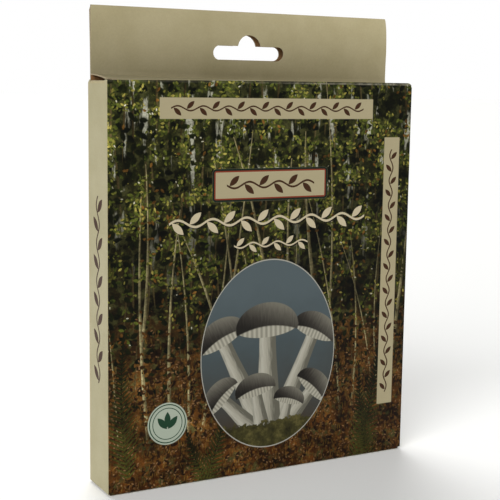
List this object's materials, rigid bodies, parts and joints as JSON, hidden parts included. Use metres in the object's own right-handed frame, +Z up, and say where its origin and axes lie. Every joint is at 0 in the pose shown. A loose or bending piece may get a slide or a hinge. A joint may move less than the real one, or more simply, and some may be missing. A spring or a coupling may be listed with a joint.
{
  "type": "hang tab folding carton",
  "caption": "Shallow upright folding carton with a two-ply hang header, a euro slot and a hinged tuck-in lid.",
  "frame": {"origin": "middle of the base, on the surface that the carton stands on", "axes": "+X to the right across the printed front, +Y to the back, +Z up"},
  "size_m": [0.136, 0.02, 0.185],
  "materials": {
    "woodland_print": "satin varnished print",
    "cream_print": "satin varnished print",
    "raw_board": "unprinted brown board"
  },
  "bodies": {
    "carton": {"front_panel": "woodland_print", "back_panel": "cream_print", "left_side_panel": "cream_print", "right_side_panel": "cream_print", "header_front_ply": "cream_print", "glue_flap": "raw_board", "bottom_panel": "cream_print", "bottom_inner_flap": "raw_board", "bottom_left_dust_flap": "raw_board", "bottom_right_dust_flap": "raw_board"},
    "lid": {"top_panel": "cream_print"},
    "tuck": {"tuck_flap": "cream_print"},
    "left_dust": {"left_dust_flap": "cream_print"},
    "right_dust": {"right_dust_flap": "cream_print"}
  },
  "joints": [
    {"name": "lid_crease", "type": "hinge", "parent": "carton", "child": "lid", "pos_m": [0, 0.0083, 0.1592], "axis": [-1, 0, 0], "range_deg": [0, 65]},
    {"name": "tuck_crease", "type": "hinge", "parent": "lid", "child": "tuck", "pos_m": [0, -0.00895, 0.15656], "axis": [-1, 0, 0], "range_deg": [0, 23]},
    {"name": "left_dust_crease", "type": "hinge", "parent": "carton", "child": "left_dust", "pos_m": [-0.0675, 0, 0.15585], "axis": [0, -1, 0], "range_deg": [0, 33]},
    {"name": "right_dust_crease", "type": "hinge", "parent": "carton", "child": "right_dust", "pos_m": [0.0675, 0, 0.15585], "axis": [0, 1, 0], "range_deg": [0, 33]}
  ],
  "couplings": [
    {"joint": "tuck_crease", "follows": "lid_crease", "ratio": 0.35},
    {"joint": "left_dust_crease", "follows": "lid_crease", "ratio": 0.5},
    {"joint": "right_dust_crease", "follows": "lid_crease", "ratio": 0.5}
  ]
}
